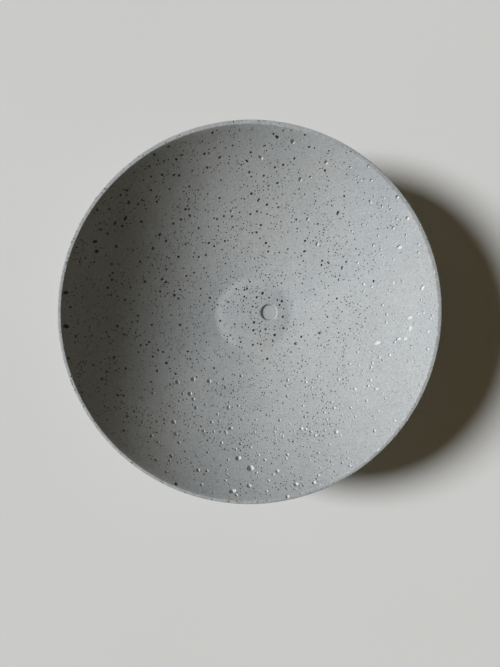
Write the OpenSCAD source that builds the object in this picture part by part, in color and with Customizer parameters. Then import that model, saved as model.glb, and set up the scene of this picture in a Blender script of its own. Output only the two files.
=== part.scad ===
// A shallow round planter bowl of thin cast concrete. A tapered rubber bung closes the drain
// hole in its floor, and four stick-on rubber pads under its foot keep it off the ground.
// The origin is on the ground under the middle of the bowl, with +Z up. Sizes are in mm.

/* [Rim] */
// Outer diameter of the bowl, at its rim
rim_d = 300; // [270:1:330]
// Width of the level lip along the top of the wall
lip_w = 3; // [2.5:0.25:5]
// Height of the upright edge on the outside of the lip
lip_edge_h = 2.5; // [1.5:0.25:5]
// Radius on both corners of the lip
lip_round = 0.8; // [0.4:0.1:1.2]

/* [Inside] */
// Depth from the lip down to the floor disc
inner_depth = 68; // [58:1:78]
// Diameter of the flat disc in the middle of the floor
disc_d = 56; // [50:1:64]
// Width of the sloping band around the disc
band_w = 5; // [3:0.5:8]
// Height of the disc above the foot of the wall
disc_rise = 0.5; // [0.3:0.1:1]
// Slope of the wall where it leaves the floor, in degrees
wall_start = 13; // [8:0.5:16]
// Diameter at which the lower wall runs into the steeper upper wall
knee_d = 186; // [170:1:200]
// Height of that knee above the floor disc
knee_h = 22; // [19:0.5:26]

/* [Outside] */
// Thickness of the wall at the knee, square to its inner face
knee_t = 9; // [7:0.5:11]
// Thickness of the concrete between the floor disc and the plane of the foot
floor_t = 10; // [8.5:0.5:13]
// Diameter of the foot
foot_d = 110; // [100:1:120]
// Height of the foot's upright edge
foot_edge_h = 2; // [1.5:0.5:4]
// Radius on the foot's lower edge
foot_round = 1; // [0.5:0.1:1.4]
// Width of the flat ring that the pads are stuck to
foot_ring_w = 18; // [16:0.5:22]
// Depth of the hollow inside the foot's ring
foot_hollow = 1.5; // [1:0.1:2.5]

/* [Drain hole] */
// Distance from the middle of the bowl to the drain hole
drain_offset = 17; // [12:0.5:18]
// Direction from the middle of the bowl to the drain hole, in degrees from +X
drain_angle = 8; // [0:1:359]
// Diameter of the drain hole just below its sloping mouth
drain_d = 12.8; // [11:0.1:15]
// Diameter of the drain hole at its lower end
drain_low_d = 11.2; // [9.5:0.1:12]
// Width of the sloping mouth, on each side
mouth_w = 1.2; // [0.8:0.1:2]
// Depth of the sloping mouth
mouth_depth = 1.8; // [1:0.1:2.2]

/* [Bung] */
// Gap between the bung and the wall of the drain hole
bung_gap = 0.1; // [0.05:0.01:0.2]
// Distance that the bung stops short of the hole's lower end
bung_short = 0.3; // [0.2:0.1:1]
// Radius on the edge of the bung's top face
bung_round = 0.4; // [0.2:0.1:0.6]
// Diameter of the mouth of the hollow moulded into the bung's underside
bung_core_d = 5.6; // [4:0.1:7]
// Depth of that hollow
bung_core_h = 4; // [2:0.1:4.5]
// Amount by which that hollow narrows on each side towards its inner end
bung_core_draft = 0.4; // [0.2:0.1:0.8]

/* [Pads] */
// Diameter of a floor pad
pad_d = 14; // [10:0.5:15]
// Thickness of a floor pad
pad_t = 2; // [1.5:0.1:4]
// Radius on the lower edge of a floor pad
pad_round = 0.8; // [0.4:0.1:1.2]
// Direction of the first pad from the middle of the bowl, in degrees from +X
pad_angle = 45; // [0:1:89]

/* [Hidden] */

$fn = 96;
// Steps along a long arc of the wall
wall_steps = 14;
// Steps along a rounded edge
edge_steps = 6;
// Extra length on a cut, so that it passes right through a face
cut = 1;

concrete_colour = [0.61, 0.615, 0.615];
bung_colour = [0.56, 0.56, 0.55];
pad_colour = [0.13, 0.13, 0.13];

// Levels, upwards from the ground
foot_z = pad_t;
hollow_z = foot_z + foot_hollow;
disc_z = foot_z + floor_t;
wall_foot_z = disc_z - disc_rise;
rim_z = disc_z + inner_depth;

// Places on the half section, as [radius, level]
disc_edge = [disc_d / 2, disc_z];
wall_foot = [disc_d / 2 + band_w, wall_foot_z];
knee = [knee_d / 2, disc_z + knee_h];
lip_inner = [rim_d / 2 - lip_w, rim_z];
lip_outer = [rim_d / 2, rim_z];
lip_edge_foot = [rim_d / 2, rim_z - lip_edge_h];
foot_edge_top = [foot_d / 2, foot_z + foot_edge_h];
foot_corner = [foot_d / 2, foot_z];
foot_ring_inner = [foot_d / 2 - foot_ring_w, foot_z];

// Slope of the inner face at the knee, and the point of the outer face that lies square below it
knee_slope = 2 * slope_of(wall_foot, knee) - wall_start;
outer_knee = knee + knee_t * [sin(knee_slope), -cos(knee_slope)];
// Slope of the outer face there: midway between its two chords, so that neither arc bends back
outer_slope = (slope_of(foot_edge_top, outer_knee) + slope_of(outer_knee, lip_edge_foot)) / 2;

// The drain hole's level below the sloping mouth, which is also the level of the bung's top face
seat_z = disc_z - mouth_depth;
drain_taper = (drain_d - drain_low_d) / 2 / (seat_z - hollow_z);
bung_low_z = hollow_z + bung_short;

// The pads are stuck to the middle of the foot's ring
pad_ring_r = foot_d / 2 - foot_ring_w / 2;

// Slope of the straight line from a to b
function slope_of(a, b) = atan2(b[1] - a[1], b[0] - a[0]);

// Points on the arc from a to b that leaves a at the given slope. It reaches b at twice the
// slope of its chord less that slope, so arcs that meet there can run smoothly into each other.
function arc(a, b, start) =
    let (turn = 2 * (slope_of(a, b) - start),
         r = norm(b - a) / (2 * sin(turn / 2)))
    [for (i = [0:wall_steps])
        let (s = start + turn * i / wall_steps)
        a + r * [sin(s) - sin(start), cos(start) - cos(s)]];

// Points on the arc of radius r that rounds off the corner c of the path from a to b
function rounded(a, c, b, r) =
    let (u = (a - c) / norm(a - c),
         v = (b - c) / norm(b - c),
         half = acos(u * v) / 2,
         middle = c + (u + v) / norm(u + v) * r / sin(half),
         first = c + u * r / tan(half) - middle,
         last = c + v * r / tan(half) - middle,
         begin = atan2(first[1], first[0]),
         sweep = (atan2(last[1], last[0]) - begin + 540) % 360 - 180)
    [for (i = [0:edge_steps])
        let (t = begin + sweep * i / edge_steps)
        middle + r * [cos(t), sin(t)]];

// A list of points without its last one
function all_but_last(p) = [for (i = [0:len(p) - 2]) p[i]];

// The drain hole's radius at level z, between its lower end and its mouth
function drain_r(z) = drain_low_d / 2 + drain_taper * (z - hollow_z);

// Half section of the concrete, from the middle of the floor out over the rim and back below
function bowl_section() =
    let (low = arc(wall_foot, knee, wall_start),
         high = all_but_last(arc(knee, lip_inner, knee_slope)),
         outer_high = arc(outer_knee, lip_edge_foot, outer_slope),
         outer_low = arc(foot_edge_top, outer_knee, 2 * slope_of(foot_edge_top, outer_knee) - outer_slope),
         steps = [wall_steps:-1:0])
    concat([[0, disc_z], disc_edge],
           all_but_last(low),
           high,
           rounded(high[wall_steps - 1], lip_inner, lip_outer, lip_round),
           rounded(lip_inner, lip_outer, lip_edge_foot, lip_round),
           [for (i = steps) outer_high[i]],
           [for (i = [wall_steps - 1:-1:0]) outer_low[i]],
           rounded(foot_edge_top, foot_corner, foot_ring_inner, foot_round),
           [foot_ring_inner,
            foot_ring_inner + foot_hollow * [-1, 1],
            [0, hollow_z]]);

module at_drain() {
    rotate([0, 0, drain_angle])
        translate([drain_offset, 0, 0])
            children();
}

// What the drain hole takes out of the floor: a taper below, and a sloping mouth above that is
// carried on past the floor
module drain_space() {
    above = [drain_d / 2, seat_z] + (mouth_depth + cut) * [mouth_w / mouth_depth, 1];
    rotate_extrude()
        polygon([
            [0, hollow_z - cut],
            [drain_low_d / 2, hollow_z - cut],
            [drain_low_d / 2, hollow_z],
            [drain_d / 2, seat_z],
            above,
            [0, above[1]]]);
}

module bowl() {
    color(concrete_colour)
        difference() {
            rotate_extrude()
                polygon(bowl_section());
            at_drain()
                drain_space();
        }
}

module drain_bung() {
    top = [drain_r(seat_z) - bung_gap, seat_z];
    low = [drain_r(bung_low_z) - bung_gap, bung_low_z];
    color(bung_colour)
        at_drain()
            rotate_extrude()
                polygon(concat(
                    [[0, seat_z]],
                    rounded([0, seat_z], top, low, bung_round),
                    [low,
                     [bung_core_d / 2, bung_low_z],
                     [bung_core_d / 2 - bung_core_draft, bung_low_z + bung_core_h],
                     [0, bung_low_z + bung_core_h]]));
}

// One floor pad, a given number of quarter turns on from the first
module floor_pad(quarter) {
    color(pad_colour)
        rotate([0, 0, pad_angle + 90 * quarter])
            translate([pad_ring_r, 0, 0])
                rotate_extrude()
                    polygon(concat(
                        [[0, 0]],
                        rounded([0, 0], [pad_d / 2, 0], [pad_d / 2, pad_t], pad_round),
                        [[pad_d / 2, pad_t], [0, pad_t]]));
}

bowl();
drain_bung();
floor_pad(0);  // pad_back_right
floor_pad(1);  // pad_back_left
floor_pad(2);  // pad_front_left
floor_pad(3);  // pad_front_right
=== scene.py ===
"""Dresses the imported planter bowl: pitted cast concrete, a rubber drain bung and floor pads.

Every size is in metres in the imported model's own frame, with its origin on the ground under the
middle of the bowl and +Z up.
"""
import itertools
import math
import random

import bmesh
import bpy
from bpy.props import (
    FloatProperty, FloatVectorProperty, IntProperty, PointerProperty,
)
from mathutils import Matrix, Vector, noise
from mathutils.bvhtree import BVHTree
from mathutils.interpolate import poly_3d_calc


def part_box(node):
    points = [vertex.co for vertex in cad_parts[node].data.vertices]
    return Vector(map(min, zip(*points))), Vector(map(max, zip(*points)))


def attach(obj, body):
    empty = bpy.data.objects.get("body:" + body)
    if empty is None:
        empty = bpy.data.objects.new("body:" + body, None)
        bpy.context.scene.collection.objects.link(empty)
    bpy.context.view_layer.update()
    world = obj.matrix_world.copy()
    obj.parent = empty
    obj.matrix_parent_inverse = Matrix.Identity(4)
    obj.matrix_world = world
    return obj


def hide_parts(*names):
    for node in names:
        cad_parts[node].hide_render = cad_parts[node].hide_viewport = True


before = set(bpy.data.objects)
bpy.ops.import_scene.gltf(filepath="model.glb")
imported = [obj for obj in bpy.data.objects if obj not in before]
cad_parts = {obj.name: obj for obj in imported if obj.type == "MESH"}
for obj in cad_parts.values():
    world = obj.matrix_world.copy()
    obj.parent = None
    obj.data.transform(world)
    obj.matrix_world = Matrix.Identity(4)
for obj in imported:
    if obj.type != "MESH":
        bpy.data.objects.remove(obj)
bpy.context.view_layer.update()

bl_info = {
    "name": "Concrete planter bowl",
    "version": (1, 0, 0),
    "blender": (4, 5, 0),
    "location": "3D View > Sidebar > Planter",
    "description": "Makes a pitted concrete planter bowl with its drain bung and floor pads",
    "category": "Add Mesh",
}

MM = 0.001
PAD_NODES = ("pad_back_right", "pad_back_left", "pad_front_left", "pad_front_right")

# Width and height of the picture that the pixel places below are read from
PICTURE = (500, 667)

# Air pits that stand out in the picture, as (across, down, radius in mm, stretch, turn). The
# place is in pixels, and the turn is that of the long axis, in degrees from the picture's right.
# A pit with no stretch or turn has a stretch of 1 or a turn of 0.

# Floor disc and the floor round it
DISC_PITS = (
    (262.6, 293.2, 1.21, 1.3, 50), (256.7, 297.2, 1.0, 1.2, 60), (269.2, 297.6, 0.9),
    (277.4, 300.0, 0.9), (281.8, 301.2, 1.1, 1.1), (279.6, 305.0, 1.0, 1.1), (283.6, 308.6, 0.8),
    (283.0, 316.7, 1.0, 1.1, 90), (254.0, 322.3, 1.2, 1.15, 60), (265.8, 329.3, 1.25, 1.1),
    (283.5, 328.2, 1.0, 1.1), (253.5, 330.3, 1.1, 1.1), (255.2, 333.7, 0.8), (275.0, 326.5, 0.8),
    (274.8, 335.0, 1.2, 1.1), (268.0, 333.7, 0.8), (273.0, 341.0, 0.9, 1.1, 90),
    (272.6, 345.2, 0.7), (253.0, 344.8, 0.9, 1.3, 20), (257.6, 343.3, 0.8, 1.2, 90),
    (260.8, 344.3, 0.9, 1.1), (261.7, 350.7, 0.8, 1.2, 70), (252.7, 306.5, 0.9),
    (236.3, 289.0, 0.9, 1.1, 90), (244.5, 289.8, 0.9), (244.3, 296.7, 0.9, 1.2, 50),
    (228.3, 302.0, 0.9, 1.1), (234.7, 324.2, 0.9), (245.5, 324.3, 0.8, 1.3, 70),
    (220.3, 320.8, 0.9, 1.2), (227.4, 336.5, 0.8), (240.8, 342.0, 0.9), (250.0, 281.7, 0.9),
    (210.0, 297.7, 1.0), (229.3, 357.0, 0.8, 1.1, 90), (267.3, 358.7, 1.1, 1.2, 60),
    (301.5, 336.7, 1.0, 1.1), (262.0, 321.5, 0.8),
)

# Far side
FAR_PITS = (
    (292.4, 141.6, 1.55, 1.3, 80), (260.6, 157.5, 1.15, 1.9, -48), (300.1, 179.4, 1.35, 1.4, 80),
    (283.3, 165.0, 1.0, 1.1), (273.5, 134.0, 0.9), (309.3, 147.0, 0.95), (263.9, 175.8, 1.0),
    (269.0, 186.0, 1.1), (267.2, 204.7, 1.05, 1.2, 30), (258.7, 200.0, 0.9, 2.0, 65),
    (231.0, 211.2, 1.25, 1.1), (257.3, 211.5, 1.0, 1.1), (250.4, 214.2, 0.9, 1.2, 60),
    (207.5, 167.5, 1.0, 1.1), (219.7, 157.5, 0.9, 1.6, 40), (204.4, 153.7, 1.0, 1.1, 20),
    (214.7, 148.0, 0.8, 1.2, 40), (212.6, 132.8, 0.9, 1.3, 60), (189.0, 209.4, 1.1, 1.1),
    (181.4, 155.4, 1.3, 1.3, 10), (192.2, 170.8, 0.8, 1.2, 60), (264.6, 145.8, 0.8, 1.9, 35),
    (294.6, 158.6, 0.95, 1.1), (310.5, 177.0, 1.1), (278.6, 207.4, 0.9, 1.1), (207.7, 193.9, 0.8),
    (251.4, 176.6, 0.8, 1.2, 20), (325.8, 162.6, 1.3, 1.2, 70), (307.6, 219.0, 1.25, 1.1, 30),
    (317.0, 244.0, 1.35, 1.2, 60), (346.5, 262.0, 1.0), (209.0, 243.0, 1.0, 1.1),
    (186.0, 244.0, 1.1, 1.1), (225.0, 241.0, 0.9, 1.1), (217.0, 219.0, 1.0), (232.0, 216.5, 0.9),
    (199.0, 257.0, 1.1, 1.1), (189.5, 186.5, 0.9), (168.6, 146.5, 1.2, 1.2, 30),
    (305.0, 135.0, 0.9), (314.6, 148.0, 0.8), (329.0, 151.0, 0.85), (296.4, 219.6, 1.0),
    (318.0, 224.0, 0.9), (322.4, 261.0, 1.0, 1.1), (268.4, 251.6, 0.95), (214.0, 218.2, 0.85),
    (224.0, 216.2, 1.0), (174.0, 175.0, 1.0, 1.1),
)

# High on the far right side
FAR_RIGHT_PITS = (
    (407.4, 218.2, 1.35, 1.1, 30), (393.0, 228.0, 1.15, 1.35, 60), (396.6, 218.9, 1.1, 1.1, 60),
    (397.2, 197.0, 1.25, 1.15, 45), (405.6, 235.8, 0.85, 2.1, 70), (362.3, 224.5, 0.95),
    (378.1, 235.9, 0.9, 1.1), (373.2, 245.2, 0.95, 1.6, 60), (418.4, 244.6, 1.0),
    (418.4, 252.8, 1.05, 1.1), (381.8, 255.5, 0.85, 1.4, -50), (390.6, 209.7, 1.0),
    (371.2, 180.3, 1.05, 1.1), (357.8, 176.4, 0.85, 1.1), (350.0, 167.4, 0.95, 1.1),
    (368.1, 166.3, 1.0, 1.1, 60), (373.7, 196.7, 0.85, 1.1, 60), (384.2, 197.8, 0.85, 1.1),
    (382.2, 217.2, 0.85), (387.2, 237.8, 0.85, 1.1), (351.7, 231.4, 0.9), (387.8, 227.8, 0.75),
    (377.8, 229.0, 0.75), (344.4, 162.8, 0.85), (358.0, 182.5, 0.75), (364.0, 179.0, 0.7),
    (349.4, 222.2, 0.79), (347.2, 241.7, 0.75), (356.1, 248.9, 0.75), (359.1, 255.0, 0.79),
    (343.3, 256.7, 0.79), (346.7, 174.4, 0.7), (345.0, 207.8, 0.75),
)

# Side that lies in shade, and long dark ones elsewhere
SHADE_PITS = (
    (96.5, 251.3, 1.4, 1.2), (107.8, 287.7, 1.0, 1.2, 30), (111.0, 295.0, 0.9), (70.5, 307.3, 1.0),
    (125.0, 300.0, 1.0, 1.2, 90), (130.5, 287.5, 1.0), (109.6, 275.6, 0.9, 1.1),
    (112.7, 273.0, 0.9, 1.1), (140.5, 345.2, 1.0), (146.7, 344.6, 0.9, 1.1, 40),
    (138.5, 352.2, 0.9), (93.4, 365.2, 0.9), (68.4, 358.2, 1.1, 1.1), (82.3, 296.7, 0.7),
    (138.0, 315.6, 0.9), (166.0, 282.0, 1.1), (160.0, 291.5, 1.0), (180.0, 325.0, 1.1, 1.1),
    (166.5, 363.0, 1.2, 1.1), (66.0, 326.4, 1.7, 1.5), (65.6, 292.6, 1.4, 1.6),
    (149.4, 166.4, 0.95, 1.1), (145.0, 169.0, 0.85), (151.0, 176.6, 0.9), (127.0, 190.4, 0.95, 1.1),
    (120.6, 195.0, 0.9), (151.0, 190.0, 0.95), (142.0, 200.0, 0.9), (157.0, 201.6, 1.0),
    (169.6, 189.0, 0.9, 1.1), (181.0, 219.4, 1.0, 1.1, 30), (173.4, 223.6, 1.05, 1.1),
    (204.0, 268.0, 0.85, 1.1, 60), (186.4, 276.0, 0.95), (166.4, 269.4, 0.95),
    (180.0, 289.6, 0.95, 1.1), (178.4, 298.6, 1.0, 1.1), (200.6, 288.6, 0.9, 1.1, 90),
    (140.0, 261.6, 0.95), (107.6, 233.6, 1.0), (100.6, 229.4, 0.95, 1.2), (95.0, 241.6, 1.3, 1.4),
    (94.0, 262.0, 0.85, 1.2, 60), (97.4, 209.6, 1.0), (109.4, 209.0, 0.9), (111.6, 264.0, 0.95),
    (214.0, 368.0, 0.95), (157.0, 371.0, 0.9, 1.5, 80), (152.0, 325.0, 1.0), (123.6, 430.6, 1.0),
    (188.0, 351.4, 1.0), (176.0, 484.0, 1.2, 1.2), (107.0, 419.6, 0.85), (108.0, 408.0, 0.85),
    (163.0, 352.0, 0.9), (158.0, 350.0, 0.9), (162.0, 317.0, 0.85), (192.0, 318.0, 0.8),
    (337.8, 213.0, 1.05, 1.8, 65),
)

# Near left side
NEAR_LEFT_PITS = (
    (208.9, 381.1, 1.53, 1.15, 10), (192.8, 379.2, 1.58, 1.25), (177.2, 382.2, 1.53, 1.1),
    (189.7, 393.8, 1.58, 1.1), (193.0, 399.2, 1.3), (182.4, 393.8, 1.07),
    (179.1, 400.5, 1.02, 1.1, 60), (195.6, 407.7, 1.24, 1.3, 60), (205.1, 404.9, 0.96),
    (216.1, 390.3, 1.02), (217.4, 383.5, 0.9, 1.2, 80), (217.4, 414.1, 0.96, 1.1),
    (228.2, 407.5, 1.24, 1.6, 80), (173.2, 421.9, 1.64, 1.1), (175.4, 433.9, 1.53, 1.1),
    (203.2, 430.9, 1.24, 1.1), (163.2, 402.7, 0.9, 1.1), (164.6, 423.3, 0.96, 1.1),
    (219.0, 421.4, 1.02), (211.5, 422.2, 1.07, 1.5, -50), (178.6, 442.5, 1.3, 1.1),
    (171.0, 456.0, 1.36), (151.0, 436.0, 1.3, 1.1), (169.2, 460.6, 1.07),
    (156.0, 460.0, 1.19, 1.2, 20), (238.0, 405.6, 1.13), (241.0, 376.0, 1.24, 1.1),
)

# Shallow chips on the side that faces the light
CHIPS = (
    (409.6, 317.7, 1.5, 1.6, 8), (409.8, 328.2, 1.5, 1.5, 75), (404.9, 338.8, 1.5, 1.1),
    (376.4, 343.0, 1.7, 2.0, 10), (393.2, 282.5, 1.2),
)

# Side that faces the light
LIGHT_PITS = (
    (399.3, 247.0, 1.4, 1.6, 20), (422.3, 287.6, 1.3, 1.7, 45), (379.0, 357.0, 1.15),
    (363.5, 284.2, 1.1, 1.1), (363.5, 291.2, 0.9), (402.5, 281.5, 0.9),
    (427.8, 331.5, 1.0, 1.6, 50), (393.0, 259.5, 0.85, 1.3, 60), (382.5, 305.0, 0.9, 1.2, -40),
    (371.5, 286.5, 0.9, 1.4, 60), (411.0, 345.5, 0.8), (371.0, 367.5, 1.1, 1.3, 70),
    (358.7, 365.5, 0.9), (430.5, 318.5, 0.9, 1.1), (370.6, 380.0, 1.1, 1.1),
    (383.0, 264.0, 0.85, 1.1, 60), (334.0, 408.0, 1.2, 1.1), (357.5, 262.8, 0.9, 1.2, 60),
)

# Near side
NEAR_PITS = (
    (250.2, 468.2, 2.3, 1.15, 20), (238.0, 458.2, 1.75, 1.3, 35), (232.2, 491.2, 1.55, 1.6, 30),
    (248.8, 485.9, 1.55, 1.1), (277.3, 471.2, 1.4, 1.1), (295.8, 484.0, 1.45, 1.1),
    (301.3, 428.7, 1.25, 1.2), (305.8, 429.3, 1.05), (336.2, 431.9, 1.4, 1.2, 60),
    (313.9, 482.6, 1.25, 1.2), (316.4, 478.6, 0.8), (318.6, 475.3, 0.9, 1.4, 50),
    (221.5, 442.8, 1.1, 1.1), (220.2, 445.7, 0.8), (225.7, 432.6, 1.1, 1.7, -70),
    (250.5, 447.4, 1.05), (235.6, 449.3, 1.0), (240.9, 450.5, 0.8), (258.6, 454.9, 0.9, 1.1),
    (264.7, 459.9, 1.05, 1.1), (228.1, 459.8, 0.9, 1.1), (226.6, 469.4, 0.85, 1.1),
    (206.8, 470.8, 1.15, 1.1), (204.4, 473.8, 0.8), (201.4, 484.7, 1.15, 1.1),
    (225.4, 480.6, 0.9, 1.1), (268.4, 480.6, 0.95), (241.0, 484.0, 0.8), (236.3, 495.1, 1.0, 1.2),
    (266.5, 491.2, 0.9, 1.1), (287.4, 496.6, 1.1, 1.3, 30), (282.8, 436.6, 0.9, 1.7, 80),
    (289.6, 424.0, 0.85, 1.3, 60), (254.7, 432.2, 0.95), (286.0, 458.6, 1.0), (310.0, 460.6, 0.85),
    (329.6, 444.7, 0.9), (197.8, 470.2, 1.3, 1.1), (306.0, 382.0, 1.1, 1.1),
    (213.6, 431.8, 0.9, 1.1),
)

# Groups of these pits, as (how far they are sunk, pale from, pits). They are sunk by a share of
# their radius, and those above the second number, a radius in mm, show pale paste, which paints
# highlight in them; the others show darker dusty paste, which paints shade in them.
SEEN_PITS = (
    (0.50, 1.22, DISC_PITS),
    (0.30, 1.05, FAR_PITS),
    (0.30, 0.80, FAR_RIGHT_PITS),
    (0.50, 9.00, SHADE_PITS),
    (0.16, 0.80, NEAR_LEFT_PITS),
    (-0.30, 0.00, CHIPS),
    (0.15, 0.80, LIGHT_PITS),
    (0.02, 0.80, NEAR_PITS),
)

# Ring shaped zones of random air pits, as (side, from radius, to radius, small pits and larger
# pits for each square centimetre seen from above, middle radius of the larger ones, spread).
# Radii are in mm.
PIT_ZONES = (
    ("inside", 0.0, 27.0, 3.5, 1.4, 0.80, 0.18),
    ("inside", 29.0, 62.0, 3.0, 0.9, 0.80, 0.20),
    ("inside", 62.0, 95.0, 3.4, 1.17, 0.82, 0.25),
    ("inside", 95.0, 122.0, 3.4, 1.2, 0.84, 0.27),
    ("inside", 122.0, 137.0, 3.1, 1.08, 0.84, 0.28),
    ("inside", 137.0, 145.5, 3.1, 1.15, 0.82, 0.26),
    ("lip", 147.0, 149.8, 3.0, 0.0, 0.80, 0.10),
    ("outside", 56.0, 148.5, 1.2, 0.3, 0.80, 0.22),
    ("outside", 5.0, 54.0, 0.8, 0.2, 0.80, 0.20),
)
MM2_PER_CM2 = 100.0

# Radius in mm from which a pit is cut by a ball, and below which by a cone
BALL_FROM = 0.74
# Largest random pit, and the small ones as (middle radius, spread, least, most), all in mm
LARGE_MOST = 1.4
SMALL_PITS = (0.52, 0.25, 0.32, BALL_FROM - 0.01)
# Radii in mm above which a ball is made with more faces
FINE_FROM, FINEST_FROM = 1.05, 1.5

# How common the random pits are on the lower and on the upper wall, in eight directions from +X
# on towards +Y, and the radii between which the one gives way to the other
LOW_SHARES = (0.72, 0.83, 0.80, 1.05, 0.95, 0.90, 0.89, 0.96)
HIGH_SHARES = (0.43, 0.40, 0.62, 1.03, 0.43, 1.12, 1.20, 0.89)
SHARES_FROM, SHARES_TO = 95 * MM, 106 * MM

# Loose clusters of random pits: an even part, waves on it as (strength, scale), and the least
CLUSTER_EVEN = 0.5
CLUSTER_WAVES = ((0.9, 70.0), (0.5, 28.0))
CLUSTER_LEAST = 0.15

# Where random pits show pale paste, which paints highlight on the sides where the key light falls,
# as (least radius, share of X, share of Y, beyond, raised): a pit is pale where these shares of its
# place add up to more than a length, and it is cut less deep by a share of its radius. Elsewhere a
# pit shows darker dusty paste, which paints shade in it. The rows are for the near right, the
# right, the far right and the near side.
HIGHLIGHT_PLACES = (
    (BALL_FROM * MM, 1.0, -0.9, 100 * MM, 0.2),
    (0.45 * MM, 1.0, -0.25, 102 * MM, 0.2),
    (BALL_FROM * MM, 1.0, 0.35, 118 * MM, 0.15),
    (BALL_FROM * MM, 0.3, -1.0, 40 * MM, 0.05),
)
# The same for the chips on the lip
HIGHLIGHT_CHIPS_Y, HIGHLIGHT_CHIPS_BEYOND = -0.9, 100 * MM

# What the random draws of a pit choose from: its stretch, and how far it is sunk
STRETCHES = (1.0, 1.0, 1.1, 1.15, 1.3, 1.7)
SUNK = (0.3, 0.6)
MOST_TRIES = 60000
# Seeds of the random draws for the pits and for the chips, and of the noise that makes them rough
PIT_SEED, CHIP_SEED, NOISE_SEED = 41, 7, 41

# Level from which a side of the bowl is looked for, and which way along Z
SEARCHES = {"inside": (0.2, -1.0), "lip": (0.2, -1.0), "outside": (-0.1, 1.0)}
# Rise of a pit's long axis before it is laid on the surface
ALONG_RISE = 0.3

# Gap that is left between two pits, and between a random pit and the mouth of the drain hole
PIT_GAP, MOUTH_GAP = 0.12 * MM, 0.9 * MM
# Width of the cells in which a pit's neighbours are looked up
CELL = 5 * MM

# How uneven the cutters are, as a share of their radius, how much more so the cones are, and how
# fine that is across one radius
SEEN_ROUGHNESS, RANDOM_ROUGHNESS, CHIP_ROUGHNESS = 0.18, 0.16, 0.25
CONE_ROUGHER = 1.5
PIT_GRAIN, CHIP_GRAIN = 0.9, 1.1

# Cone that cuts a small pit: its sides, and its radius, height and shift for a pit of radius 1
CONE_SIDES, CONE_RADIUS, CONE_HEIGHT, CONE_SHIFT = 7, 1.4, 3.2, -0.1
# Turn that stands a ball of twenty faces on one of them, where it is cut with nine sides, not five
ON_A_FACE = Matrix.Rotation(math.radians(37.38), 4, "Y")
# Cutters in one batch
BATCH = 40

# Chips along the lip: how many lie on its outer and inner edge, and their middle radius, spread
# and largest radius in mm
OUTER_CHIPS, INNER_CHIPS = 80, 95
CHIP_RADIUS, CHIP_SPREAD, CHIP_MOST = 0.55, 0.4, 1.5
# Where in its stretch of the edge a chip lies, how far out its middle lies and how long it is, as
# shares that are drawn between two values, and how wide it is
CHIP_PLACE, CHIP_OUT, CHIP_LENGTH, CHIP_WIDTH = (0.15, 0.85), (0.45, 0.75), (1.0, 1.9), 0.8
# Share of the way out that a chip's middle goes upwards, and that it goes sideways
CHIP_SLANT = 0.6

# Material slots of the bowl and of all that is cut from it
# The second slot is pale paste that paints highlight in pits where the key light falls, and the
# third is darker dusty paste that paints shade in the other pits
CAST, PAINTED_HIGHLIGHT, DUST_AND_SHADE = 0, 1, 2

# Smooth shading ends at edges that turn by more than this
SHARP_FROM = math.radians(48.0)
# Least cosine between a face and the smooth surface for it to count as a piece of that surface
SAME_FACE = 0.93
# Farthest that a corner may lie from the smooth surface and still count as one on it
ON_SURFACE = 0.01 * MM

# Steps round the bung, the pads, the drain hole and the floor, and along each rounded corner
STEPS_ROUND, CORNER_STEPS = 64, 4
# Points closer than this become one
MERGE_WITHIN = 0.001 * MM

# Share of the hole's taper that the bung has, as it ends a little above the hole's lower end
BUNG_TAPER = 0.96

# Steps along the four arcs of the bowl's wall
LOW_STEPS, HIGH_STEPS, OUTER_HIGH_STEPS, OUTER_LOW_STEPS = 10, 13, 11, 7

# Waves of the hand-cast faces: their scales, and the share and place of the finer ones
WAVES, RIPPLES, RIPPLE_SHARE, RIPPLE_SHIFT = 22.0, 60.0, 0.5, Vector((7, 3, 5))
# They fade out over these heights above the foot and below the lip, which starts a little lower
# than its edge, and leave these heights next to the foot and inside the rim alone
FOOT_FADE, LIP_FADE, LIP_MARGIN, FOOT_SKIN, RIM_SKIN = 4 * MM, 6 * MM, 1 * MM, 0.2 * MM, 0.9 * MM
# On the lip they only go inwards, by a steady part besides the waves, and down by a share of that
LIP_STEADY, LIP_DOWN = 0.9, 0.25
# Radii between which the floor disc's shift fades out
DISC_FADE = (34 * MM, 62 * MM)
# Least upward facing of the inside, and the share of the lip's width that it doesn't reach into
INSIDE_FACING, INSIDE_MARGIN = 0.05, 0.75

# Long side of the camera's film, in mm
FILM = 36.0
KEY_COLOUR = (0.935, 0.965, 1.0)
FILL_COLOUR = (1.0, 0.81, 0.42, 1.0)
BACKDROP_COLOUR = (0.66, 0.66, 0.65, 1.0)
FLOOR_RADIUS = 6.0

# Noise for bumps, as (scale, detail, roughness)
CONCRETE_GRAIN, CONCRETE_SWELL = (800.0, 4.0, 0.65), (180.0, 3.0, 0.5)
RUBBER_SPARK = (1900.0, 2.0, 0.5)
# Noise for colours and roughness, as (scale, detail, roughness), then the part of it that is read
# and what that gives
CLOUDS = (26.0, 4.0, 0.6), (0.25, 0.75), (0.955, 1.045)
STAINS = (85.0, 5.0, 0.62), (0.3, 0.7), (0.965, 1.035)
SAND = (1400.0, 3.0, 0.75), (0.3, 0.7), (0.78, 1.22)
COARSE_SAND = (600.0, 2.0, 0.6), (0.3, 0.7), (0.90, 1.10)
WARMTH = (14.0, 2.0, 0.5), (0.3, 0.7), (0.0, 1.0)
RING_PATCHES = (55.0, 3.0, 0.5), (0.35, 0.65), (0.3, 1.0)
LIP_WEAR = (420.0, 4.0, 0.7), (0.35, 0.65), (-0.09, 0.13)
CONCRETE_MATTNESS = (240.0, 3.0, 0.5), (0.3, 0.7), (0.78, 0.94)
RUBBER_CLOUDS = (120.0, 4.0, 0.6), (0.3, 0.7), (0.95, 1.05)
RUBBER_SPECKLE = (420.0, 4.0, 0.65), (0.46, 0.70)
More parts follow.
